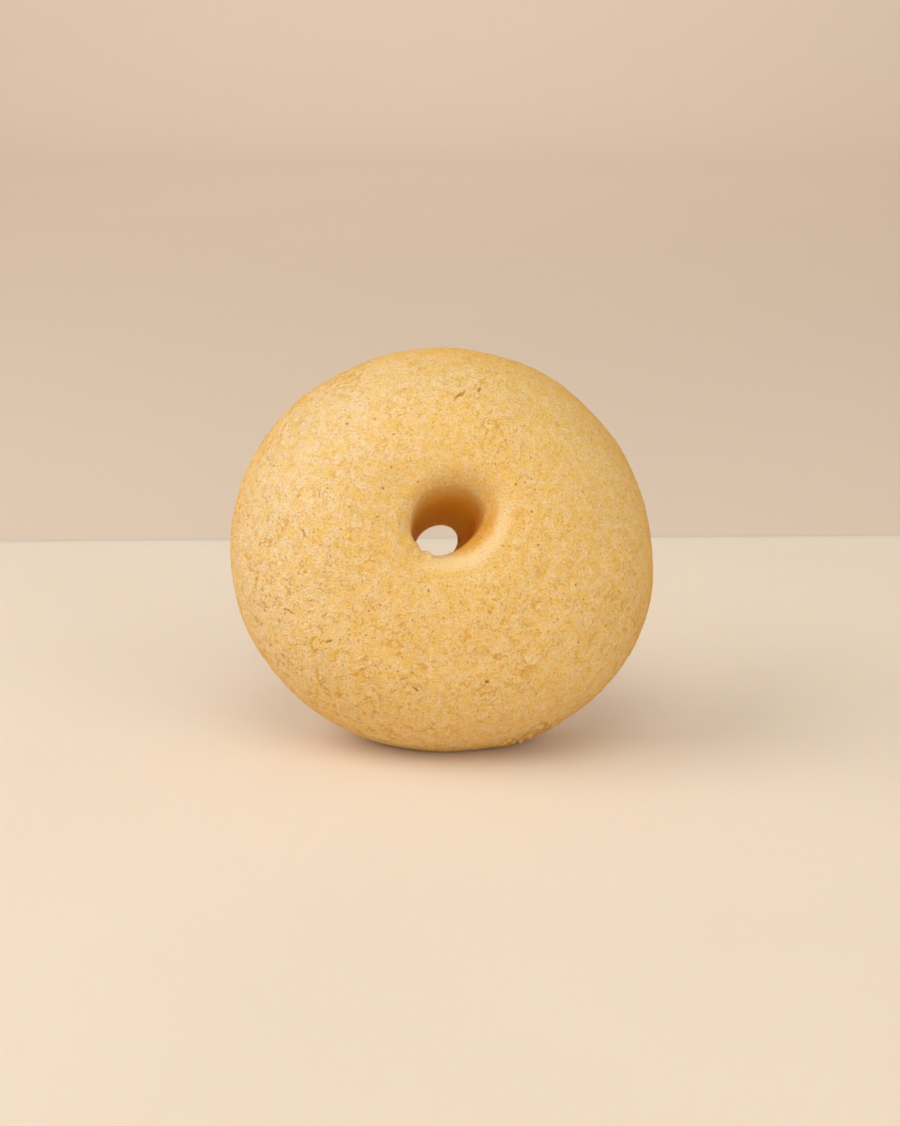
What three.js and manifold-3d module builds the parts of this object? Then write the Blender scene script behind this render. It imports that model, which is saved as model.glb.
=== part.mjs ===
// A thick round shortbread with a slanting finger hole, standing on its edge.
// Millimetres and radians, +Z up. The domed face looks along -Y and the flat baked
// underside is behind it. The origin is the middle of the object's box, on the floor.
//
// The shape is first worked out in the cookie's own frame: u runs to the right across
// the face, v runs up it, and w rises from the underside (w = 0) to the crown.

import * as THREE from 'three';
import { mergeVertices } from 'three/addons/utils/BufferGeometryUtils.js';
import Module from 'manifold-3d';

const degrees = THREE.MathUtils.degToRad;

// The round body.
const RADIUS = 39.48;
const THICKNESS = 29;
const CROWN_RADIUS = 115;
const FRONT_ROUNDING = 23;
const BACK_ROUNDING = 7;
const SIDE_TAPER = degrees(9);
const TAPER_HEIGHT = 10;
// How the outline departs from a circle: waves round it, height, and where a wave peaks.
const OUTLINE_WAVES = [
  { waves: 2, height: 1.0, peak: degrees(-15) },
  { waves: 3, height: 0.37, peak: degrees(-36) },
  { waves: 4, height: 0.18, peak: degrees(-32) },
  { waves: 5, height: 0.11, peak: degrees(-15) },
];

// The hole, a squeezed cone that slants up from the underside to the face.
const EXIT = { u: -1.3, v: 0.4, radius: 3.4, rounding: 3 };
const MOUTH = { u: 1.4, v: 10.5, radius: 6.9, rounding: 3.6 };
const SQUEEZE = 0.12;
const LONG_WAY = degrees(40);
// Towards the mouth it turns slightly three-cornered.
const CORNERS = 3;
const CORNER_SWELL = 0.04;
const CORNER_WAY = degrees(130);
// The mouth's edge is softest on its lower right.
const ROUNDING_SWING = 1.4;
const SOFTEST_WAY = degrees(-50);
// The face dips gently towards the hole.
const DIP = { u: 1.2, v: 8.9, depth: 3.2, width: 7.5 };

// The uneven skin of the dough.
const SWELLS = 16;
const LONGEST_SWELL = 24;
const SHORTEST_SWELL = 7;
const SWELL_HEIGHT = 0.06;
const GOLDEN_ANGLE = Math.PI * (3 - Math.sqrt(5));

// How it stands.
const LEAN = degrees(9);
const FLAT_SPOT_DEPTH = 1.9;
const CUTTER_SIZE = 200;

// The mesh: columns go round the hole and rows go round the ring's section.
const COLUMNS = 84;
const ROWS = 46;
const CORE_HEIGHT = 0.47 * THICKNESS;
const LONGEST_RAY = 45;
const RAY_STEP = 2.5;
const HALVINGS = 30;
const HOLE_CROWDING = 0.15;
const FACE_CROWDING = 0.25;

// Crumbs on the broken rim at the lower right, where the cookie meets the floor.
const CRUMB_SEED = 11;
const CRUMBS = 30;
const CRUMB_ARC = [degrees(-72), degrees(-56)];
const CRUMB_BAND = [8.5, 14];
const CRUMB_RADIUS = [0.35, 0.65];
const CRUMB_SINK = 0.1;

// A torn lip on the lower left of the mouth.
const LIP_ARC = [degrees(-149), degrees(-115)];
const LIP_HEIGHT = 25;
const LIP_LUMPS = 6;
const LIP_LUMP = [0.75, 0.42, 0.95];

// Short cracks and pinholes in the face: where, how long, wide and deep, and which way.
const FACE_MARKS = [
  { u: 3.2, v: 29.8, length: 3.4, width: 0.4, depth: 0.5, turn: degrees(45) },
  { u: 6.5, v: 30.6, length: 1.3, width: 0.4, depth: 0.5, turn: degrees(70) },
  { u: -23.6, v: 6.4, length: 2.2, width: 0.4, depth: 0.45, turn: degrees(-62) },
  { u: -26.2, v: -7.5, length: 2.6, width: 0.4, depth: 0.45, turn: degrees(-18) },
  { u: -19.5, v: -12.4, length: 1.8, width: 0.4, depth: 0.45, turn: degrees(28) },
  { u: -4.5, v: -20.6, length: 2.0, width: 0.4, depth: 0.45, turn: degrees(-35) },
  { u: 7.8, v: -19.3, length: 0.7, width: 0.55, depth: 0.8, turn: 0 },
];
// A pit and a crevice in the right wall of the hole: height, place round it, and size.
const WALL_MARKS = [
  { height: 15, around: degrees(8), size: [0.9, 0.5, 1.1] },
  { height: 5.6, around: degrees(0), size: [0.6, 0.35, 0.8] },
];

const COOKIE_COLOUR = 0xe8bd7c;

const wasm = await Module();
wasm.setup();

const { hypot, atan2, exp, max, min, sin, cos, tan, sqrt, PI } = Math;
const { lerp, clamp } = THREE.MathUtils;

// Where both a and b are under zero, with the corner between them rounded.
function roundedOverlap(a, b, radius) {
  return min(max(a, b), -radius) + hypot(max(a + radius, 0), max(b + radius, 0));
}

function outlineSwell(angle) {
  let swell = 0;
  for (const { waves, height, peak } of OUTLINE_WAVES) {
    swell += height * cos(waves * (angle - peak));
  }
  return swell;
}

// Gentle waves in all directions, spread evenly over a sphere by the golden angle.
function skinSwell(u, v, w) {
  let swell = 0;
  for (let i = 0; i < SWELLS; i++) {
    const rise = 1 - (2 * i + 1) / SWELLS;
    const spread = sqrt(1 - rise * rise);
    const turn = GOLDEN_ANGLE * i;
    const length = lerp(LONGEST_SWELL, SHORTEST_SWELL, i / (SWELLS - 1));
    const along = spread * (cos(turn) * u + sin(turn) * v) + rise * w;
    swell += (length / LONGEST_SWELL) * sin((2 * PI * along) / length + 1.7 * i);
  }
  return SWELL_HEIGHT * swell;
}

// The middle of the hole at height w.
function holeCentre(w) {
  const t = w / THICKNESS;
  return { u: lerp(EXIT.u, MOUTH.u, t), v: lerp(EXIT.v, MOUTH.v, t) };
}

function wayRoundHole(u, v, w) {
  const centre = holeCentre(w);
  return atan2(v - centre.v, u - centre.u);
}

// Under zero inside the hole.
function holeField(u, v, w) {
  const centre = holeCentre(w);
  const a = u - centre.u;
  const b = v - centre.v;
  const alongLongWay = (a * cos(LONG_WAY) + b * sin(LONG_WAY)) / (1 + SQUEEZE);
  const acrossIt = (b * cos(LONG_WAY) - a * sin(LONG_WAY)) / (1 - SQUEEZE);
  const share = clamp(w / THICKNESS, 0, 1);
  const corners = CORNER_SWELL * share * cos(CORNERS * (wayRoundHole(u, v, w) - CORNER_WAY));
  const radius = lerp(EXIT.radius, MOUTH.radius, share) * (1 + corners);
  const slant = hypot(MOUTH.u - EXIT.u, MOUTH.v - EXIT.v) / THICKNESS;
  return (hypot(alongLongWay, acrossIt) - radius) / hypot(1, slant);
}

// Under zero inside the dough.
function doughField(u, v, w) {
  const reach = RADIUS + outlineSwell(atan2(v, u)) + (w - TAPER_HEIGHT) * tan(SIDE_TAPER);
  const side = (hypot(u, v) - reach) * cos(SIDE_TAPER);
  const fromDip = hypot(u - DIP.u, v - DIP.v) / DIP.width;
  const dip = DIP.depth * exp(-(fromDip * fromDip) / 2);
  const crown = hypot(u, v, w - (THICKNESS - CROWN_RADIUS)) - CROWN_RADIUS + dip;
  const domed = roundedOverlap(side, crown, FRONT_ROUNDING);
  const body = roundedOverlap(domed, -w, BACK_ROUNDING);
  const mouthRounding = MOUTH.rounding + ROUNDING_SWING * cos(wayRoundHole(u, v, w) - SOFTEST_WAY);
  const shoulder = lerp(EXIT.rounding, mouthRounding, clamp(w / THICKNESS, 0, 1));
  return roundedOverlap(body, -holeField(u, v, w), shoulder) - skinSwell(u, v, w);
}

// Where a ray that starts inside the dough first comes out of it.
function surfacePoint(start, direction) {
  const point = new THREE.Vector3();
  const isInside = (distance) => {
    point.copy(start).addScaledVector(direction, distance);
    return doughField(point.x, point.y, point.z) < 0;
  };
  let inside = 0;
  while (inside < LONGEST_RAY && isInside(inside + RAY_STEP)) inside += RAY_STEP;
  let outside = inside + RAY_STEP;
  for (let i = 0; i < HALVINGS; i++) {
    const middle = (inside + outside) / 2;
    if (isInside(middle)) inside = middle;
    else outside = middle;
  }
  return point;
}

// A point in the middle of the ring's section on the column at this angle.
function coreOfSection(angle) {
  const middle = holeCentre(CORE_HEIGHT);
  const along = middle.u * cos(angle) + middle.v * sin(angle);
  const toHoleSquared = middle.u * middle.u + middle.v * middle.v;
  const toOutline = -along + sqrt(along * along + RADIUS * RADIUS - toHoleSquared);
  const out = (toOutline + (EXIT.radius + MOUTH.radius) / 2) / 2;
  return new THREE.Vector3(
    middle.u + out * cos(angle),
    middle.v + out * sin(angle),
    CORE_HEIGHT,
  );
}

// The way out from a section's core. It slants with the hole, so that columns never cross.
function wayOut(angle, turn) {
  const slantU = (MOUTH.u - EXIT.u) / THICKNESS;
  const slantV = (MOUTH.v - EXIT.v) / THICKNESS;
  return new THREE.Vector3(
    cos(turn) * cos(angle) + sin(turn) * slantU,
    cos(turn) * sin(angle) + sin(turn) * slantV,
    sin(turn),
  );
}

// The whole ring as one closed grid, with rows closer together on the face and in the hole.
function ringGeometry() {
  const positions = [];
  const indices = [];
  for (let column = 0; column < COLUMNS; column++) {
    const angle = (2 * PI * column) / COLUMNS;
    const core = coreOfSection(angle);
    for (let row = 0; row < ROWS; row++) {
      const even = (2 * PI * row) / ROWS;
      const turn = even + HOLE_CROWDING * sin(even) + FACE_CROWDING * cos(even);
      positions.push(...surfacePoint(core, wayOut(angle, turn)));
      const nextColumn = ((column + 1) % COLUMNS) * ROWS;
      const nextRow = (row + 1) % ROWS;
      const corners = [column * ROWS + row, nextColumn + row, nextColumn + nextRow, column * ROWS + nextRow];
      indices.push(corners[0], corners[1], corners[2], corners[0], corners[2], corners[3]);
    }
  }
  const geometry = new THREE.BufferGeometry();
  geometry.setAttribute('position', new THREE.Float32BufferAttribute(positions, 3));
  geometry.setIndex(indices);
  return geometry;
}

function toSolid(geometry) {
  geometry.deleteAttribute('normal');
  geometry.deleteAttribute('uv');
  const merged = mergeVertices(geometry, 1e-4);
  return new wasm.Manifold(
    new wasm.Mesh({
      numProp: 3,
      vertProperties: merged.attributes.position.array,
      triVerts: Uint32Array.from(merged.index.array),
    }),
  );
}

function toGeometry(solid) {
  const { vertProperties, triVerts } = solid.getMesh();
  const geometry = new THREE.BufferGeometry();
  geometry.setAttribute('position', new THREE.BufferAttribute(vertProperties, 3));
  geometry.setIndex(new THREE.BufferAttribute(triVerts, 1));
  return geometry;
}

// The mulberry32 generator: the same even draws from 0 to 1 each time.
function seededRandom(seed) {
  let state = seed;
  return () => {
    state = (state + 0x6d2b79f5) | 0;
    let mixed = Math.imul(state ^ (state >>> 15), 1 | state);
    mixed = (mixed + Math.imul(mixed ^ (mixed >>> 7), 61 | mixed)) ^ mixed;
    return ((mixed ^ (mixed >>> 14)) >>> 0) / 2 ** 32;
  };
}

// A rough grain with about twenty faces, half sunk in the skin.
function crumb(random) {
  const angle = lerp(...CRUMB_ARC, random());
  const height = lerp(...CRUMB_BAND, random());
  const radius = lerp(...CRUMB_RADIUS, random());
  const outward = new THREE.Vector3(cos(angle), sin(angle), 0);
  const place = surfacePoint(new THREE.Vector3(0, 0, height).addScaledVector(outward, RADIUS / 2), outward);
  const geometry = new THREE.IcosahedronGeometry(radius, 0);
  geometry.scale(lerp(0.8, 1.2, random()), lerp(0.8, 1.2, random()), lerp(0.7, 1, random()));
  geometry.rotateX(2 * PI * random());
  geometry.rotateZ(2 * PI * random());
  place.addScaledVector(outward, -CRUMB_SINK);
  geometry.translate(...place);
  return toSolid(geometry);
}

// A point on the wall of the hole, and the way across to it from the hole's middle.
function wallPlace(height, around) {
  const centre = holeCentre(height);
  const across = new THREE.Vector3(cos(around), sin(around), 0);
  const deep = new THREE.Vector3(centre.u, centre.v, height).addScaledVector(across, RADIUS / 2);
  return { point: surfacePoint(deep, across.clone().negate()), across };
}

// One lump of the torn lip, longest along the rim.
function lipLump(index) {
  const around = lerp(...LIP_ARC, index / (LIP_LUMPS - 1));
  const { point } = wallPlace(LIP_HEIGHT + 0.5 * sin(2.5 * index), around);
  const geometry = new THREE.IcosahedronGeometry(1, 0);
  geometry.rotateY(index);
  geometry.scale(LIP_LUMP[1], LIP_LUMP[0], LIP_LUMP[2]);
  geometry.rotateZ(around);
  geometry.translate(...point);
  return toSolid(geometry);
}

// A narrow diamond that cuts a short crack, or a pinhole, in the face.
function faceMark({ u, v, length, width, depth, turn }) {
  const start = new THREE.Vector3(u, v, CORE_HEIGHT);
  const place = surfacePoint(start, new THREE.Vector3(0, 0, 1));
  const geometry = new THREE.OctahedronGeometry(1, 0);
  geometry.scale(length / 2, width / 2, depth);
  geometry.rotateZ(turn);
  geometry.translate(...place);
  return toSolid(geometry);
}

function wallMark({ height, around, size }) {
  const { point } = wallPlace(height, around);
  const geometry = new THREE.OctahedronGeometry(1, 0);
  geometry.scale(...size);
  geometry.rotateZ(around);
  geometry.translate(...point);
  return toSolid(geometry);
}

// Leans the cookie back, cuts the flat spot it stands on, and puts that on the floor.
function standUp(solid) {
  const leaning = toGeometry(solid);
  leaning.rotateX(PI / 2 - LEAN);
  leaning.computeBoundingBox();
  const floor = leaning.boundingBox.min.z + FLAT_SPOT_DEPTH;
  const cutter = new THREE.BoxGeometry(CUTTER_SIZE, CUTTER_SIZE, CUTTER_SIZE);
  cutter.translate(0, 0, floor - CUTTER_SIZE / 2);
  const standing = toGeometry(toSolid(leaning).subtract(toSolid(cutter)));
  standing.computeBoundingBox();
  const middle = standing.boundingBox.getCenter(new THREE.Vector3());
  standing.translate(-middle.x, -middle.y, -floor);
  standing.computeVertexNormals();
  return standing;
}

function cookieGeometry() {
  const random = seededRandom(CRUMB_SEED);
  let solid = toSolid(ringGeometry());
  for (let i = 0; i < LIP_LUMPS; i++) solid = solid.add(lipLump(i));
  for (let i = 0; i < CRUMBS; i++) solid = solid.add(crumb(random));
  for (const mark of FACE_MARKS) solid = solid.subtract(faceMark(mark));
  for (const mark of WALL_MARKS) solid = solid.subtract(wallMark(mark));
  return standUp(solid);
}

const bakedDough = new THREE.MeshStandardMaterial({
  color: COOKIE_COLOUR,
  roughness: 0.85,
  metalness: 0,
  flatShading: true,
});

const cookie = new THREE.Mesh(cookieGeometry(), bakedDough);
cookie.name = 'cookie';

const shortbread = new THREE.Group();
shortbread.add(cookie);

export default shortbread;
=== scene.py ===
"""A thick round shortbread with a slanting finger hole, standing on its edge.

The form is worked out in the cookie's own frame in millimetres: u runs to the right across
the face, v runs up it, and w rises from the flat underside (w = 0) to the crown. The mesh
is then leaned back, stood on its flat spot and turned into metres.
"""

import math

import bpy
import numpy as np
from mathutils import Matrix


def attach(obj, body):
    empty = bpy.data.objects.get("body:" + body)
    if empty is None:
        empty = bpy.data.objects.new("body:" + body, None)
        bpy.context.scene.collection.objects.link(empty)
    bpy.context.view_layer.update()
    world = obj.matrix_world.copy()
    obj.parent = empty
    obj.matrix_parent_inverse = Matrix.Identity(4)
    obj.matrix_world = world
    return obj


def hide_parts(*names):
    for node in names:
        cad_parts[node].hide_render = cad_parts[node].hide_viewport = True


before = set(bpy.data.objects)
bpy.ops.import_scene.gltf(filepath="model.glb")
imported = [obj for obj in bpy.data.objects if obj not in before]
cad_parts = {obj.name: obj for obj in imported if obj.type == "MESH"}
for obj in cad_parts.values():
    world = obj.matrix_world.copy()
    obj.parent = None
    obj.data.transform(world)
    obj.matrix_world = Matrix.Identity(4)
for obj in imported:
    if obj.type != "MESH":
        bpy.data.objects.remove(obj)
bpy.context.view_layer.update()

MM = 0.001
TURN = 2 * math.pi

# ---------------------------------------------------------------- driving dimensions, mm

RADIUS = 39.48
THICKNESS = 29.0
CROWN_RADIUS = 115.0
FRONT_ROUNDING = 23.0
BACK_ROUNDING = 7.0
SIDE_TAPER = math.radians(9)
TAPER_HEIGHT = 10.0
# How the outline departs from a circle: (waves round it, height, where a wave peaks).
OUTLINE_WAVES = (
    (2, 1.0, math.radians(-15)),
    (3, 0.37, math.radians(-36)),
    (4, 0.18, math.radians(-32)),
    (5, 0.11, math.radians(-15)),
)

# The hole, a squeezed cone that slants up from the underside to the face.
EXIT_U, EXIT_V, EXIT_RADIUS, EXIT_ROUNDING = -1.3, 0.4, 3.4, 3.0
MOUTH_U, MOUTH_V, MOUTH_RADIUS = 1.4, 10.5, 6.9
SQUEEZE = 0.12
LONG_WAY = math.radians(40)
# Towards the mouth it turns slightly three-cornered.
CORNERS = 3
CORNER_SWELL = 0.04
CORNER_WAY = math.radians(130)
# The mouth's edge is softest on its lower right.
MOUTH_ROUNDING = 3.6
ROUNDING_SWING = 1.4
SOFTEST_WAY = math.radians(-50)
# The face dips gently towards the hole.
DIP_U, DIP_V = 1.2, 8.9
DIP_DEPTH = 3.2
DIP_WIDTH = 7.5

# The uneven skin of the dough.
SWELLS = 16
LONGEST_SWELL = 24.0
SHORTEST_SWELL = 7.0
SWELL_HEIGHT = 0.06
GOLDEN_ANGLE = math.pi * (3 - math.sqrt(5))

# A torn lip on the lower left of the mouth.
LIP_ARC = (math.radians(-149), math.radians(-115))
LIP_HEIGHT = 25.0
LIP_LUMPS = 6
# Crumbs on the broken rim at the lower right, where the cookie meets the floor.
CRUMB_ARC = (math.radians(-72), math.radians(-56))
CRUMB_BAND = (8.5, 14.0)
# Short cracks and a pinhole in the face: (u, v, length, width, depth, turn).
FACE_MARKS = (
    (3.2, 29.8, 3.4, 0.4, 0.5, math.radians(45)),
    (6.5, 30.6, 1.3, 0.4, 0.5, math.radians(70)),
    (-23.6, 6.4, 2.2, 0.4, 0.45, math.radians(-62)),
    (-26.2, -7.5, 2.6, 0.4, 0.45, math.radians(-18)),
    (-19.5, -12.4, 1.8, 0.4, 0.45, math.radians(28)),
    (-4.5, -20.6, 2.0, 0.4, 0.45, math.radians(-35)),
    (7.8, -19.3, 0.7, 0.55, 0.8, 0.0),
)
# A pit and a crevice in the hole's right wall: (height, way round, depth, half width, half height).
WALL_MARKS = (
    (15.0, math.radians(8), 0.9, 0.5, 1.1),
    (5.6, 0.0, 0.6, 0.35, 0.8),
)

# The lip's ridge and the notch inside it: how far each reaches, and its height or depth.
LIP_WAVE = 0.5
RIDGE_REACH, RIDGE_HEIGHT = 1.1, 0.65
NOTCH_DROP, NOTCH_REACH, NOTCH_DEPTH = 1.9, 1.0, 0.3
# The rim of crumbs: the spacing and radius of one, and how far it stands out.
CRUMB_SPACING, CRUMB_RADIUS, CRUMB_HEIGHT, CRUMB_SINK = 1.05, 0.72, 0.75, 0.2

# The granular skin: rounded lumps (size, height), grains with soft valleys, fine cracks and pores.
LUMPS = ((3.6, 0.015), (1.5, 0.022), (0.8, 0.045), (0.45, 0.045))
GRAIN_SIZE, GRAIN_HEIGHT, GRAIN_VALLEY = 1.3, 0.055, 0.45
CRACK_DEPTH = 0.07
PORE_SPACING, PORE_DEPTH, PORE_SHARE = 1.9, 0.12, 0.3
SMALLEST_PORE, LARGEST_PORE = 0.1, 0.3

# How it stands.
LEAN = math.radians(9)
FLAT_SPOT_DEPTH = 1.9

# The fine mesh: columns go round the hole and rows go round the ring's section.
COLUMNS = 900
ROWS = 430
CORE_HEIGHT = 0.47 * THICKNESS
LONGEST_RAY = 45.0
RAY_STEP = 2.5
HALVINGS = 14
HOLE_CROWDING = 0.15
FACE_CROWDING = 0.25


# ---------------------------------------------------------------- noise

def lattice_random(i, j, k, seed):
    """An even value from 0 to 1 for each whole-number place, the same each run."""
    mixed = (i * 374761393 + j * 668265263 + k * 1440662683 + seed * 1274126177) & 0xFFFFFFFF
    mixed = ((mixed ^ (mixed >> 13)) * 1274126177) & 0xFFFFFFFF
    return ((mixed ^ (mixed >> 16)) & 0xFFFFFF) / 0xFFFFFF


def smooth_step(low, high, value):
    t = np.clip((value - low) / (high - low), 0, 1)
    return t * t * (3 - 2 * t)


def soft_noise(points, size, seed):
    """Smooth random lumps of about that size, from -1 to 1."""
    place = points / size
    whole = np.floor(place).astype(np.int64)
    part = place - whole
    part = part * part * (3 - 2 * part)
    total = np.zeros(len(points))
    for corner in np.ndindex(2, 2, 2):
        weight = np.ones(len(points))
        for axis, side in enumerate(corner):
            weight *= part[:, axis] if side else 1 - part[:, axis]
        total += weight * lattice_random(*(whole[:, axis] + corner[axis] for axis in range(3)), seed)
    return 2 * total - 1


def cells(points, size, seed):
    """Distances to the nearest and second nearest seed point, and the nearest one's own random value."""
    place = points / size
    whole = np.floor(place).astype(np.int64)
    nearest = np.full(len(points), 9.0)
    second = np.full(len(points), 9.0)
    pick = np.zeros(len(points))
    for step in np.ndindex(3, 3, 3):
        cell = [whole[:, axis] + step[axis] - 1 for axis in range(3)]
        gap = np.zeros(len(points))
        for axis in range(3):
            gap += (cell[axis] + lattice_random(*cell, seed + axis) - place[:, axis]) ** 2
        gap = np.sqrt(gap)
        closer = gap < nearest
        second = np.where(closer, nearest, np.minimum(second, gap))
        pick = np.where(closer, lattice_random(*cell, seed + 3), pick)
        nearest = np.where(closer, gap, nearest)
    return nearest * size, second * size, pick


# ---------------------------------------------------------------- the smooth form

def rounded_overlap(a, b, radius):
    """Where both a and b are under zero, with the corner between them rounded."""
    corner = np.hypot(np.maximum(a + radius, 0), np.maximum(b + radius, 0))
    return np.minimum(np.maximum(a, b), -radius) + corner


def outline_swell(angle):
    return sum(height * np.cos(waves * (angle - peak)) for waves, height, peak in OUTLINE_WAVES)


def skin_swell(u, v, w):
    """Gentle waves in all directions, spread evenly over a sphere by the golden angle."""
    swell = 0
    for i in range(SWELLS):
        rise = 1 - (2 * i + 1) / SWELLS
        spread = math.sqrt(1 - rise * rise)
        turn = GOLDEN_ANGLE * i
        length = LONGEST_SWELL + (SHORTEST_SWELL - LONGEST_SWELL) * i / (SWELLS - 1)
        along = spread * (math.cos(turn) * u + math.sin(turn) * v) + rise * w
        swell = swell + length / LONGEST_SWELL * np.sin(TURN * along / length + 1.7 * i)
    return SWELL_HEIGHT * swell


def hole_centre(w):
    t = w / THICKNESS
    return EXIT_U + (MOUTH_U - EXIT_U) * t, EXIT_V + (MOUTH_V - EXIT_V) * t


def way_round_hole(u, v, w):
    centre_u, centre_v = hole_centre(w)
    return np.arctan2(v - centre_v, u - centre_u)


def hole_field(u, v, w):
    """Under zero inside the hole."""
    centre_u, centre_v = hole_centre(w)
    a, b = u - centre_u, v - centre_v
    along_long_way = (a * math.cos(LONG_WAY) + b * math.sin(LONG_WAY)) / (1 + SQUEEZE)
    across_it = (b * math.cos(LONG_WAY) - a * math.sin(LONG_WAY)) / (1 - SQUEEZE)
    share = np.clip(w / THICKNESS, 0, 1)
    corners = CORNER_SWELL * share * np.cos(CORNERS * (way_round_hole(u, v, w) - CORNER_WAY))
    radius = (EXIT_RADIUS + (MOUTH_RADIUS - EXIT_RADIUS) * share) * (1 + corners)
    slant = math.hypot(MOUTH_U - EXIT_U, MOUTH_V - EXIT_V) / THICKNESS
    return (np.hypot(along_long_way, across_it) - radius) / math.hypot(1, slant)


def dough_field(u, v, w):
    """Under zero inside the dough."""
    taper = (w - TAPER_HEIGHT) * math.tan(SIDE_TAPER)
    reach = RADIUS + outline_swell(np.arctan2(v, u)) + taper
    side = (np.hypot(u, v) - reach) * math.cos(SIDE_TAPER)
    from_dip = (u - DIP_U) ** 2 + (v - DIP_V) ** 2
    dip = DIP_DEPTH * np.exp(-from_dip / (2 * DIP_WIDTH**2))
    crown = np.sqrt(u * u + v * v + (w - (THICKNESS - CROWN_RADIUS)) ** 2) - CROWN_RADIUS + dip
    body = rounded_overlap(rounded_overlap(side, crown, FRONT_ROUNDING), -w, BACK_ROUNDING)
    mouth_rounding = MOUTH_ROUNDING + ROUNDING_SWING * np.cos(way_round_hole(u, v, w) - SOFTEST_WAY)
    shoulder = EXIT_ROUNDING + (mouth_rounding - EXIT_ROUNDING) * np.clip(w / THICKNESS, 0, 1)
    return rounded_overlap(body, -hole_field(u, v, w), shoulder) - skin_swell(u, v, w)


def surface_point(start, direction):
    """Where rays that start inside the dough first come out of it."""
    inside = np.zeros(start.shape[:-1])
    still_in = np.ones(start.shape[:-1], bool)
    for _ in range(int(LONGEST_RAY / RAY_STEP)):
        point = start + (inside + RAY_STEP)[..., None] * direction
        still_in &= dough_field(point[..., 0], point[..., 1], point[..., 2]) < 0
        inside = np.where(still_in, inside + RAY_STEP, inside)
    outside = inside + RAY_STEP
    for _ in range(HALVINGS):
        middle = (inside + outside) / 2
        point = start + middle[..., None] * direction
        is_in = dough_field(point[..., 0], point[..., 1], point[..., 2]) < 0
        inside = np.where(is_in, middle, inside)
        outside = np.where(is_in, outside, middle)
    return start + outside[..., None] * direction


def section_cores(angle):
    """A point in the middle of the ring's section on the column at each angle."""
    middle_u, middle_v = hole_centre(CORE_HEIGHT)
    along = middle_u * np.cos(angle) + middle_v * np.sin(angle)
    to_outline = -along + np.sqrt(along**2 + RADIUS**2 - middle_u**2 - middle_v**2)
    out = (to_outline + (EXIT_RADIUS + MOUTH_RADIUS) / 2) / 2
    return np.stack([middle_u + out * np.cos(angle), middle_v + out * np.sin(angle),
                     np.full_like(angle, CORE_HEIGHT)], -1)


def ring_grid():
    """Columns by rows of points over the whole ring, closer together on the face and in the hole."""
    angle = np.arange(COLUMNS)[:, None] * TURN / COLUMNS
    even = np.arange(ROWS)[None, :] * TURN / ROWS
    turn = even + HOLE_CROWDING * np.sin(even) + FACE_CROWDING * np.cos(even)
    # The rays slant with the hole, so that columns never cross.
    slant_u = (MOUTH_U - EXIT_U) / THICKNESS
    slant_v = (MOUTH_V - EXIT_V) / THICKNESS
    direction = np.stack([np.cos(turn) * np.cos(angle) + slant_u * np.sin(turn),
                          np.cos(turn) * np.sin(angle) + slant_v * np.sin(turn),
                          np.sin(turn) + 0 * angle], -1)
    cores = np.broadcast_to(section_cores(angle), direction.shape)
    return surface_point(cores, direction)


def grid_normals(grid):
    """Outward unit normals of a grid that closes on itself both ways."""
    round_hole = np.roll(grid, -1, 0) - np.roll(grid, 1, 0)
    round_section = np.roll(grid, -1, 1) - np.roll(grid, 1, 1)
    normals = np.cross(round_hole, round_section)
    return normals / np.linalg.norm(normals, axis=-1, keepdims=True)


# ---------------------------------------------------------------- the skin's relief

def wall_points(height, around):
    """Points on the wall of the hole at each height and way round it."""
    across = np.stack([np.cos(around), np.sin(around), 0 * around], -1)
    centre = np.stack([*hole_centre(height), height], -1)
    return surface_point(centre + RADIUS / 2 * across, -across)


def closeness(points, line, reach):
    """From 1 on a line of points to 0 beyond its reach."""
    gap = np.full(len(points), 99.0)
    near = np.abs(points - line.mean(0)).max(1) < reach + np.ptp(line, 0).max()
    for place in line:
        gap[near] = np.minimum(gap[near], np.linalg.norm(points[near] - place, axis=1))
    return smooth_step(reach, 0.25 * reach, gap)


def lip_relief(points):
    """The torn lip on the lower left of the mouth, with a notch inside it."""
    along = np.linspace(0, 1, 40)
    around = LIP_ARC[0] + (LIP_ARC[1] - LIP_ARC[0]) * along
    edge = LIP_HEIGHT + LIP_WAVE * np.sin(2.5 * (LIP_LUMPS - 1) * along)
    ridge = closeness(points, wall_points(edge, around), RIDGE_REACH)
    notch = closeness(points, wall_points(edge - NOTCH_DROP, around), NOTCH_REACH) * (1 - ridge)
    torn = 0.75 + 0.5 * soft_noise(points, 0.9, 41)
    return RIDGE_HEIGHT * ridge * torn - NOTCH_DEPTH * notch, notch


def face_mark_relief(points):
    """The short cracks and the pinhole in the face, as narrow cuts."""
    u, v, w = points.T
    relief = np.zeros(len(points))
    for mark_u, mark_v, length, width, depth, turn in FACE_MARKS:
        a, b = u - mark_u, v - mark_v
        bend = 0.05 * length * np.sin(9 * a / length)
        along = (a * math.cos(turn) + b * math.sin(turn)) / (length / 2)
        across = (b * math.cos(turn) - a * math.sin(turn) + bend * (length > 1)) / (width / 2)
        cut = np.clip(1 - along**2 - np.abs(across), 0, 1) * (w > CORE_HEIGHT)
        relief = np.minimum(relief, -depth * smooth_step(0, 0.8, cut))
    return relief


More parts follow.
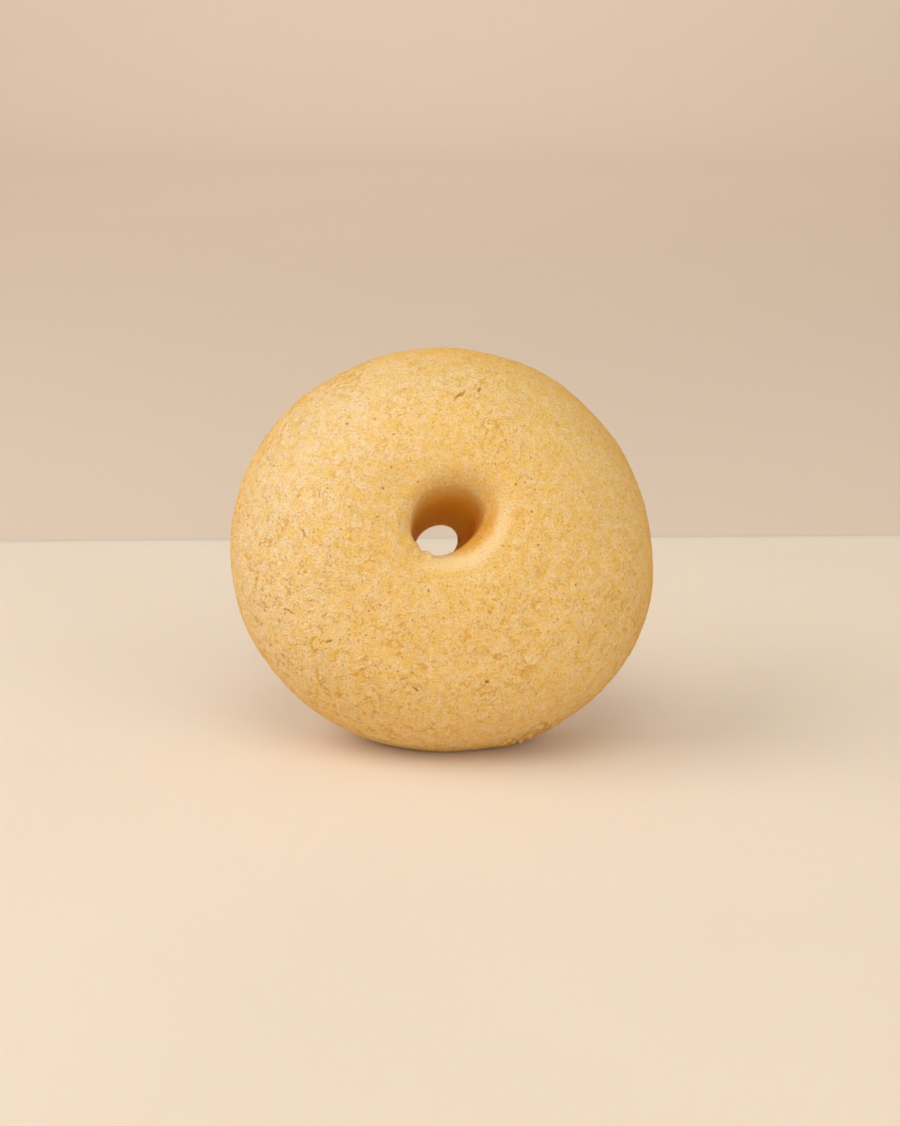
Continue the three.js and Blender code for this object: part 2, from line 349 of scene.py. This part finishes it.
def wall_mark_relief(points):
    """The pit and the crevice in the right wall of the hole, with a faint rim round them."""
    relief = np.zeros(len(points))
    for height, around, depth, half_width, half_height in WALL_MARKS:
        place = wall_points(np.array([height]), np.array([around]))[0]
        across = (points[:, 1] - place[1]) / half_width
        up = (points[:, 2] - place[2]) / half_height
        near = np.abs(points[:, 0] - place[0]) < 3
        gap = np.hypot(across, up) + 9 * ~near
        relief -= depth * smooth_step(1.0, 0.3, gap)
        relief += 0.25 * smooth_step(1.0, 1.4, gap) * smooth_step(2.2, 1.4, gap)
    return relief


def crumb_relief(points):
    """Crumbs on the broken rim at the lower right, and how far each point lies between them."""
    u, v, w = points.T
    middle, half = sum(CRUMB_ARC) / 2, (CRUMB_ARC[1] - CRUMB_ARC[0]) / 2
    low, high = CRUMB_BAND
    broken = smooth_step(1.5, 0.8, np.abs(np.arctan2(v, u) - middle) / half)
    broken *= smooth_step(low - 3, low, w) * smooth_step(high + 3, high, w)
    near, _, pick = cells(points, CRUMB_SPACING, 50)
    crumb = np.sqrt(np.clip(1 - (near / CRUMB_RADIUS) ** 2, 0, 1)) * (0.35 + 0.65 * pick)
    return broken * (CRUMB_HEIGHT * crumb - CRUMB_SINK), broken * smooth_step(0.5, 0, crumb)


def calmness(points):
    """How much smoother the skin is: in the hole, round it and underneath."""
    u, v, w = points.T
    from_hole = np.hypot(u - MOUTH_U, v - MOUTH_V)
    in_hole = smooth_step(24.5, 19, w) * smooth_step(13, 8, from_hole)
    near_hole = smooth_step(17, 9, from_hole) * smooth_step(15, 20, w)
    underside = smooth_step(1.2, 0.2, w)
    return np.clip(0.8 * in_hole + 0.6 * near_hole + 0.5 * underside, 0, 0.9), in_hole


def coarseness(points, calm):
    """How coarse the skin is: in wide patches, and most at the left and lower down."""
    u, v, _ = points.T
    coarse = 0.4 + 0.35 * soft_noise(points, 9, 5) + 0.25 * soft_noise(points, 4, 6)
    coarse += 0.4 * smooth_step(-6, -20, u) + 0.35 * smooth_step(2, -18, v)
    return np.clip(coarse, 0, 1) * (1 - calm)


def fine_cracks(points, coarse):
    """Short curved cracks: thin level lines of a noise, kept only here and there."""
    winding = soft_noise(points, 2.1, 7) + 0.35 * soft_noise(points, 0.8, 8)
    kept = smooth_step(0.1, 0.4, soft_noise(points, 1.9, 9) + 0.3 * coarse)
    return smooth_step(0.13, 0.02, np.abs(winding)) * kept * coarse


def grain_relief(points, warp, coarse):
    """Low grains, parted by soft valleys in some places only."""
    near, second, pick = cells(points + 0.35 * warp, GRAIN_SIZE, 10)
    parted = smooth_step(-0.5, 0.3, soft_noise(points, 2.3, 11))
    valley = parted * smooth_step(GRAIN_VALLEY, 0, second - near)
    return GRAIN_HEIGHT * (0.4 + coarse) * (1 - valley) * (0.3 + pick)


def pore_map(points, warp):
    """1 in the middle of each pore and 0 outside."""
    gap, _, pick = cells(points + 0.2 * warp, PORE_SPACING, 20)
    radius = SMALLEST_PORE + (LARGEST_PORE - SMALLEST_PORE) * pick
    return (1 - smooth_step(0.4, 1.0, gap / radius)) * (pick > 1 - PORE_SHARE)


def skin_relief(points):
    """Height of the fine relief and, at each point, the values that the material reads."""
    calm, in_hole = calmness(points)
    coarse = coarseness(points, calm)
    cracks = fine_cracks(points, coarse)
    warp = np.stack([soft_noise(points, 0.9, 30 + axis) for axis in range(3)], -1)
    grains = grain_relief(points, warp, coarse)
    lumps = sum(height * soft_noise(points, size, seed) for seed, (size, height) in enumerate(LUMPS, 1))
    pores = pore_map(points, warp) * (1 - 0.7 * in_hole)
    lip, notch = lip_relief(points)
    face_marks, wall_marks = face_mark_relief(points), wall_mark_relief(points)
    crumbs, between = crumb_relief(points)

    relief = (lumps + grains) * (1 - 0.6 * calm) - CRACK_DEPTH * cracks - PORE_DEPTH * pores
    relief += lip + face_marks + wall_marks + crumbs
    # The pit value paints shade: pores, the cuts in the face and the hole wall, the notch under the lip and
    # the gaps between crumbs go dark.
    shaded_pits = np.maximum.reduce([pores, -0.6 * face_marks, -1.2 * wall_marks, 0.6 * notch, 0.5 * between])
    return relief, {
        "pit": np.clip(shaded_pits, 0, 1),
        "crack_shade": np.maximum(cracks, np.clip(-2.5 * face_marks, 0, 1)),
        # Raised parts are painted cream and hollows golden: painted shade between the lumps.
        "raised_lit": np.clip(0.3 + 5 * (lumps + grains - 0.02), 0, 1),
        "coarse": coarse,
    }


def tint_values(points):
    """Where each of the material's wide tints lies, from 0 to 1. Each paints light or shade, some in part
    also the browner baking.
    """
    u, v, w = points.T
    from_hole = np.hypot(u - MOUTH_U, v - MOUTH_V)
    from_wall = hole_field(u, v, w)
    facing = smooth_step(0.0, 0.8, np.cos(way_round_hole(u, v, w) - SOFTEST_WAY))
    slope = smooth_step(8, 14, w) * smooth_step(28, 25, w) * smooth_step(8.8, 7.2, from_hole)
    shoulder = smooth_step(7.8, 9, from_hole) * smooth_step(11.5, 9.5, from_hole) * smooth_step(20, 23, w)
    return {
        # In the hole: partly more baked, partly painted bounce light.
        "in_hole": smooth_step(25, 13, w) * smooth_step(2.5, 0.8, from_wall),
        # On the lower right slope in the mouth: partly more baked, partly painted bounce light.
        "slope": facing * slope,
        # Round the mouth's lower right shoulder: a painted highlight.
        "shoulder": facing * shoulder,
        # Towards the upper left: painted light.
        "pale": smooth_step(4, 34, 0.4 * v - 0.92 * u) * smooth_step(4, 12, w),
        # Towards the back: partly its baking, partly painted shade on the sides.
        "baked_and_shade": smooth_step(20, 2, w) * smooth_step(0.5, 3, from_wall),
    }


# ---------------------------------------------------------------- the mesh

def stand_up(points):
    """Leans points back, still in millimetres; the move to the CAD node's place comes after, in make_cookie.
    """
    u, v, w = np.moveaxis(points, -1, 0)
    x = u
    y = v * math.sin(LEAN) - w * math.cos(LEAN)
    z = v * math.cos(LEAN) + w * math.sin(LEAN)
    return np.stack([x, y, z], -1)


def closed_grid_mesh(name, places):
    """A quad mesh over a grid that closes on itself both ways, with a map that unrolls it."""
    columns, rows = places.shape[:2]
    column, row = np.meshgrid(np.arange(columns), np.arange(rows), indexing="ij")
    next_column, next_row = (column + 1) % columns, (row + 1) % rows
    corners = np.stack([column * rows + row, next_column * rows + row,
                        next_column * rows + next_row, column * rows + next_row], -1)
    across = np.stack([column, column + 1, column + 1, column], -1) / columns
    along = np.stack([row, row, row + 1, row + 1], -1) / rows

    mesh = bpy.data.meshes.new(name)
    quads = columns * rows
    mesh.vertices.add(quads)
    mesh.vertices.foreach_set("co", (places.reshape(-1) * MM).astype(np.float32))
    mesh.loops.add(4 * quads)
    mesh.loops.foreach_set("vertex_index", corners.reshape(-1).astype(np.int32))
    mesh.polygons.add(quads)
    mesh.polygons.foreach_set("loop_start", np.arange(0, 4 * quads, 4, dtype=np.int32))
    uv = mesh.uv_layers.new(name="OFBake")
    uv.data.foreach_set("uv", np.stack([across, along], -1).reshape(-1).astype(np.float32))
    mesh.update(calc_edges=True)
    mesh.validate()
    mesh.shade_smooth()
    return mesh


def add_value(mesh, name, values):
    """A number at each vertex that a material can read."""
    layer = mesh.attributes.new(name, "FLOAT", "POINT")
    layer.data.foreach_set("value", values.astype(np.float32).reshape(-1))


def make_cookie():
    grid = ring_grid()
    points = grid.reshape(-1, 3)
    relief, values = skin_relief(points)
    standing = stand_up(grid)
    low, high = standing.reshape(-1, 3).min(0), standing.reshape(-1, 3).max(0)
    floor = low[2] + FLAT_SPOT_DEPTH
    shift = np.array([-(low[0] + high[0]) / 2, -(low[1] + high[1]) / 2, -floor])
    places = stand_up(grid + relief.reshape(COLUMNS, ROWS, 1) * grid_normals(grid)) + shift
    places[..., 2] = np.maximum(places[..., 2], 0)
    mesh = closed_grid_mesh("cookie_skin", places)
    for name, value in (values | tint_values(points)).items():
        add_value(mesh, name, value)
    cookie = bpy.data.objects.new("cookie_skin", mesh)
    bpy.context.scene.collection.objects.link(cookie)
    cookie.data.materials.append(baked_dough())
    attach(cookie, "root")
    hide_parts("cookie")


# ---------------------------------------------------------------- materials

class Nodes:
    """Adds shader nodes to a material and links them in one line each."""

    def __init__(self, name):
        self.material = bpy.data.materials.new(name)
        self.material.use_nodes = True
        self.tree = self.material.node_tree
        self.shader = self.tree.nodes["Principled BSDF"]

    def add(self, kind, settings=(), **inputs):
        node = self.tree.nodes.new("ShaderNode" + kind)
        for key, value in dict(settings).items():
            setattr(node, key, value)
        for key, value in inputs.items():
            self.set(node.inputs[key.replace("_", " ")], value)
        return node

    def set(self, socket, value):
        if isinstance(value, bpy.types.NodeSocket):
            self.tree.links.new(value, socket)
        else:
            socket.default_value = value

    def math(self, operation, a, b=0.0):
        node = self.tree.nodes.new("ShaderNodeMath")
        node.operation = operation
        self.set(node.inputs[0], a)
        self.set(node.inputs[1], b)
        return node.outputs[0]

    def ramp(self, value, low, high, to_low=0.0, to_high=1.0):
        node = self.tree.nodes.new("ShaderNodeMapRange")
        node.interpolation_type = "SMOOTHSTEP"
        for socket, number in zip(node.inputs[:5], (value, low, high, to_low, to_high)):
            self.set(socket, number)
        return node.outputs[0]

    def mix(self, factor, a, b, blend="MIX"):
        """From a at factor 0 to b at factor 1."""
        node = self.tree.nodes.new("ShaderNodeMix")
        node.data_type = "RGBA"
        node.blend_type = blend
        self.set(node.inputs[0], factor)
        self.set(node.inputs[6], a)
        self.set(node.inputs[7], b)
        return node.outputs[2]

    def tinted(self, factor, colour, tint):
        """The colour multiplied by a tint, as far as the factor says."""
        return self.mix(factor, colour, self.mix(1.0, colour, tint, "MULTIPLY"))

    def noise(self, place, size, detail=2.0, roughness=0.5):
        """Noise with features of about that size in millimetres."""
        node = self.add("TexNoise", Scale=1 / (size * MM), Detail=detail, Roughness=roughness)
        self.set(node.inputs["Vector"], place)
        return node.outputs["Fac"]

    def value(self, name):
        """The number that the mesh carries under that name."""
        return self.add("Attribute", {"attribute_name": name}).outputs["Fac"]


# The dough's colours, and the tints that multiply them. GOLDEN, CREAM and AMBER are its own tones; the rest
# paint light and shade, some in part also its browner baking.
GOLDEN = (0.94, 0.58, 0.14, 1)
CREAM = (0.96, 0.69, 0.36, 1)
AMBER = (0.90, 0.505, 0.10, 1)
CRACK_SHADE = (0.74, 0.33, 0.02, 1)
PIT_SHADE = (0.45, 0.12, 0.0, 1)
HOLE_BAKE_AND_BOUNCE = (1.0, 0.46, 0.005, 1)
SHOULDER_HIGHLIGHT = (0.97, 0.72, 0.38, 1)
GRIT_SHADE = (0.76, 0.655, 0.45, 1)
LIT_SIDE_TINT = (1.0, 1.07, 1.4, 1)
SLOPE_BAKE_AND_BOUNCE = (0.92, 0.70, 0.36, 1)
BAKED_AND_SHADE_TINT = (1.0, 0.84, 0.52, 1)

# Sizes of the dough's patterns, in millimetres.
WANDER_SIZE, WANDER_REACH = 0.8, 0.5
PATCH_SIZE = 1.7
FLECK_SIZE = 1.1
GRIT_SIZE = 0.34
STREAK_SIZE, STREAK_PATCH_SIZE = 1.3, 1.5
# Dark specks, tiny pits painted dark as shade: (cell size, share of the cells that have one, least and
# largest radius).
SMALL_SPECKS = (0.6, 0.5, 0.06, 0.15)
LARGE_SPECKS = (1.2, 0.4, 0.1, 0.21)
BUMP_HEIGHT = 0.5


def dots(n, place, size, share, least, most):
    """Round spots: one in each cell of that size, in a share of the cells, with radii in millimetres."""
    cell = n.add("TexVoronoi", Scale=1 / (size * MM))
    n.set(cell.inputs["Vector"], place)
    own = n.add("SeparateColor")
    n.set(own.inputs[0], cell.outputs["Color"])
    reach = n.ramp(own.outputs[0], 1 - share, 1.0, least / size, most / size)
    spot = n.math("SUBTRACT", 1.0, n.ramp(n.math("DIVIDE", cell.outputs["Distance"], reach), 0.45, 1.0))
    return n.math("MULTIPLY", spot, n.math("GREATER_THAN", own.outputs[0], 1 - share))


def wandering(n, place):
    """Places shifted a little at random, so that a pattern read there has uneven edges."""
    wander = n.add("TexNoise", Scale=1 / (WANDER_SIZE * MM), Detail=1.0)
    n.set(wander.inputs["Vector"], place)
    shifted = n.add("VectorMath", {"operation": "MULTIPLY_ADD"})
    n.set(shifted.inputs[0], wander.outputs["Color"])
    n.set(shifted.inputs[1], 3 * (WANDER_REACH * MM,))
    n.set(shifted.inputs[2], place)
    return shifted.outputs[0]


def fine_streaks(n, place, warped):
    """Short hairline cracks in the coarse parts of the skin."""
    winding = n.math("ABSOLUTE", n.math("SUBTRACT", n.noise(warped, STREAK_SIZE, 1.0), 0.5))
    kept = n.ramp(n.noise(place, STREAK_PATCH_SIZE, 1.0), 0.52, 0.62)
    return n.math("MULTIPLY", n.math("MULTIPLY", n.ramp(winding, 0.03, 0.01), kept), n.value("coarse"))


def baked_dough():
    n = Nodes("baked_dough")
    place = n.add("TexCoord").outputs["Object"]
    warped = wandering(n, place)
    in_hole = n.value("in_hole")

    # Golden to cream by random patches and by height, so hollows between lumps are darker: painted shade.
    patches = n.ramp(n.noise(place, PATCH_SIZE), 0.34, 0.66)
    colour = n.mix(n.math("MULTIPLY", n.math("ADD", patches, n.value("raised_lit")), 0.5), GOLDEN, CREAM)
    flecks = n.ramp(n.noise(place, FLECK_SIZE), 0.56, 0.72, 0.0, 0.35)
    colour = n.mix(flecks, colour, AMBER)
    # The grit noise is also the bump's height; its low places are darkened: painted shade in the finest
    # hollows.
    grit = n.noise(place, GRIT_SIZE, 3.0, 0.65)
    colour = n.tinted(n.ramp(grit, 0.56, 0.32, 0.0, 0.75), colour, GRIT_SHADE)
    # Deep orange inside the hole: partly its more baked inside, partly painted warm bounce light.
    colour = n.mix(n.math("MULTIPLY", in_hole, 0.92), colour, HOLE_BAKE_AND_BOUNCE)

    streaks = fine_streaks(n, place, warped)
    specks = n.math("MAXIMUM", dots(n, warped, *SMALL_SPECKS), dots(n, warped, *LARGE_SPECKS))
    specks = n.math("MULTIPLY", specks, n.math("SUBTRACT", 1.0, n.math("MULTIPLY", in_hole, 0.7)))
    # Cracks, the cuts in the face and the hairline streaks go dark orange: painted shade in them.
    colour = n.mix(n.math("MULTIPLY", n.math("MAXIMUM", n.value("crack_shade"), streaks), 0.75), colour, CRACK_SHADE)
    # Pits and specks take a dark red-brown: painted shade in them.
    shaded_pits = n.math("MAXIMUM", n.value("pit"), n.math("MULTIPLY", specks, 0.85))
    colour = n.mix(n.math("MULTIPLY", shaded_pits, 0.8), colour, PIT_SHADE)

    # A paler ring on the lower right of the mouth's shoulder: a painted highlight.
    colour = n.mix(n.math("MULTIPLY", n.value("shoulder"), 0.6), colour, SHOULDER_HIGHLIGHT)
    # Paler towards the upper left, where the light falls: painted light.
    colour = n.tinted(n.value("pale"), colour, LIT_SIDE_TINT)
    # Deeper golden on the lower right slope inside the mouth: partly more baked, partly painted warm bounce
    # light.
    colour = n.tinted(n.value("slope"), colour, SLOPE_BAKE_AND_BOUNCE)
    # Browner towards the back and the underside: partly its baking, partly painted shade where the sides
    # turn from the light.
    colour = n.tinted(n.value("baked_and_shade"), colour, BAKED_AND_SHADE_TINT)
    n.set(n.shader.inputs["Base Color"], colour)

    height = n.math("SUBTRACT", grit, n.math("MULTIPLY", specks, 0.25))
    height = n.math("SUBTRACT", height, n.math("MULTIPLY", streaks, 0.5))
    bump = n.add("Bump", Strength=1.0, Distance=BUMP_HEIGHT * MM, Height=height)
    n.set(n.shader.inputs["Normal"], bump.outputs[0])
    n.set(n.shader.inputs["Roughness"], n.ramp(grit, 0.3, 0.7, 0.72, 0.9))
    n.shader.inputs["Specular IOR Level"].default_value = 0.3
    n.shader.inputs["Subsurface Weight"].default_value = 0.3
    n.shader.inputs["Subsurface Radius"].default_value = (1.0, 0.45, 0.15)
    n.shader.inputs["Subsurface Scale"].default_value = 0.9 * MM
    return n.material


def plain_surface(name, colour, rough, unevenness):
    """A dull surface whose colour varies gently by a small share."""
    n = Nodes(name)
    place = n.add("TexCoord").outputs["Object"]
    tint = n.ramp(n.noise(place, 90, 3.0), 0.3, 0.7)
    dull = [(1 - unevenness) * channel for channel in colour]
    n.set(n.shader.inputs["Base Color"], n.mix(tint, (*dull, 1), (*colour, 1)))
    n.set(n.shader.inputs["Roughness"], n.ramp(n.noise(place, 2.5, 3.0, 0.6), 0.3, 0.7, rough - 0.05, rough))
    return n


# ---------------------------------------------------------------- stage, light and camera

# How far back the sheet reaches at its left and right ends: it lies slightly turned.
SHEET_FAR_EDGE = (0.084, 0.175)
SHEET_COLOUR = (0.795, 0.665, 0.515)
NEAR_EDGE = -5.0
# The backdrop lies just under the sheet and curves up behind it.
BACKDROP_COLOUR = (0.72, 0.575, 0.44)
BACKDROP_DROP = 0.001
CURVE_START, CURVE_RADIUS, BACKDROP_TOP = 0.9, 0.3, 2.0


def stage_piece(name, places, faces, material):
    mesh = bpy.data.meshes.new(name)
    mesh.from_pydata(places, [], faces)
    mesh.shade_smooth()
    piece = bpy.data.objects.new(name, mesh)
    piece.data.materials.append(material)
    bpy.context.scene.collection.objects.link(piece)


def make_stage():
    far_left, far_right = SHEET_FAR_EDGE
    corners = [(-2, NEAR_EDGE, 0), (2, NEAR_EDGE, 0), (2, far_right, 0), (-2, far_left, 0)]
    sheet = plain_surface("pale_sheet", SHEET_COLOUR, 0.85, 0.03)
    sheet.shader.inputs["Subsurface Weight"].default_value = 0.6
    sheet.shader.inputs["Subsurface Radius"].default_value = (1.0, 0.55, 0.35)
    sheet.shader.inputs["Subsurface Scale"].default_value = 8 * MM
    stage_piece("pale_sheet", corners, [(0, 1, 2, 3)], sheet.material)

    profile = [(NEAR_EDGE, 0.0)]
    for turn in np.linspace(0, math.pi / 2, 25):
        profile.append((CURVE_START + CURVE_RADIUS * math.sin(turn), CURVE_RADIUS * (1 - math.cos(turn))))
    profile.append((CURVE_START + CURVE_RADIUS, BACKDROP_TOP))
    places = [(x, y, z - BACKDROP_DROP) for y, z in profile for x in (-3, 3)]
    strips = [(2 * i, 2 * i + 1, 2 * i + 3, 2 * i + 2) for i in range(len(profile) - 1)]
    backdrop = plain_surface("backdrop", BACKDROP_COLOUR, 0.9, 0.008)
    stage_piece("backdrop", places, strips, backdrop.material)


def area_light(name, place, target, size, power):
    """A round soft light of that many watts at a place, turned to its target."""
    data = bpy.data.lights.new(name, "AREA")
    data.shape = "DISK"
    data.size = size
    data.energy = power
    light = bpy.data.objects.new(name, data)
    light.location = place
    x, y, z = np.array(target) - np.array(place)
    light.rotation_euler = (math.atan2(math.hypot(x, y), -z), 0, math.atan2(-x, y))
    bpy.context.scene.collection.objects.link(light)


def make_lights():
    area_light("key", (-0.76, -0.21, 0.65), (0, 0, 0.03), 0.9, 5.75)
    area_light("top", (0, -0.44, 0.93), (0, 0, 0.03), 0.6, 2.1)
    area_light("fill", (0.62, -0.5, 0.5), (0, 0, 0.03), 0.6, 1.5)
    area_light("front", (0.05, -1.6, 0.42), (0, 0, 0.04), 0.7, 4.7)
    area_light("backdrop_wash", (0, 0.9, 0.8), (0, 1.4, 0.2), 0.8, 1.9)
    world = bpy.data.worlds.new("studio")
    bpy.context.scene.world = world
    world.use_nodes = True
    background = world.node_tree.nodes["Background"]
    background.inputs["Color"].default_value = (1, 1, 1, 1)
    background.inputs["Strength"].default_value = 0.47


# The photo's own view, from its perspective: focal length and height of its frame in pixels.
FOCAL_PIXELS = 2100
FRAME_PIXELS = 1126
SENSOR_MM = 36
CAMERA_PLACE = (0.00145, -0.3555, 0.14676)
CAMERA_PITCH = math.radians(17.52)


def make_camera():
    data = bpy.data.cameras.new("camera")
    data.sensor_width = SENSOR_MM
    data.lens = SENSOR_MM * FOCAL_PIXELS / FRAME_PIXELS
    data.clip_start = 0.01
    camera = bpy.data.objects.new("camera", data)
    camera.location = CAMERA_PLACE
    camera.rotation_euler = (math.pi / 2 - CAMERA_PITCH, 0, 0)
    bpy.context.scene.collection.objects.link(camera)
    bpy.context.scene.camera = camera


make_camera()
make_lights()
make_stage()
make_cookie()
bpy.context.scene.view_settings.view_transform = "Standard"
